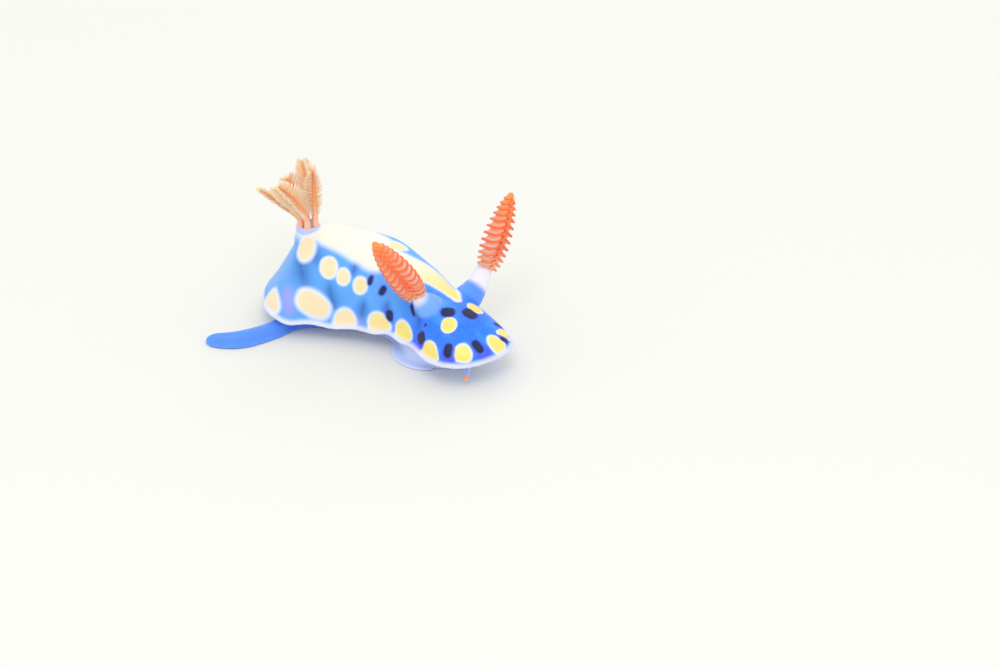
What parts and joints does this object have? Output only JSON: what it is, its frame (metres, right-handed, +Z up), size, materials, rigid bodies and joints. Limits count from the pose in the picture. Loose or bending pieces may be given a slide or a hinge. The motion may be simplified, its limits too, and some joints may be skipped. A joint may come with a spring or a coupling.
{
  "type": "sea slug",
  "caption": "Life-size still model of a blue sea slug with yellow and dark spots, ringed head feelers, feathery gill tuft and a tail laid to one side, resting on its foot.",
  "frame": {"origin": "on the sole of the foot, at floor level, below the middle of the body", "axes": "+Z up from the floor, the head faces -Y, +X is the animal's left"},
  "size_m": [0.019, 0.0189, 0.0116],
  "materials": {
    "mantle_skin": "moist, soft blue skin with yellow and dark spots",
    "foot_skin": "moist pale blue skin",
    "tail_skin": "moist deep blue skin",
    "snout_skin": "moist pale lavender skin",
    "oral_skin": "moist orange tipped feelers",
    "stalk_skin": "moist pale lavender skin",
    "club_flesh": "moist orange red rings",
    "collar_skin": "moist pale lavender skin",
    "gill_flesh": "moist orange plumes"
  },
  "bodies": {
    "root": {"mantle_head": "mantle_skin", "mantle_front": "mantle_skin", "mantle_middle": "mantle_skin", "mantle_rear": "mantle_skin", "foot_front": "foot_skin", "foot_middle": "foot_skin", "foot_rear": "foot_skin", "tail_base": "tail_skin", "tail_tip": "tail_skin", "head_mouth": "snout_skin", "oral_tentacle_right": "oral_skin", "oral_tentacle_left": "oral_skin", "rhinophore_right_stalk": "stalk_skin", "rhinophore_left_stalk": "stalk_skin", "rhinophore_right_club": "club_flesh", "rhinophore_left_club": "club_flesh", "gill_collar": "collar_skin", "gill_plume_1": "gill_flesh", "gill_plume_2": "gill_flesh", "gill_plume_3": "gill_flesh", "gill_plume_4": "gill_flesh", "gill_plume_5": "gill_flesh"}
  },
  "joints": []
}
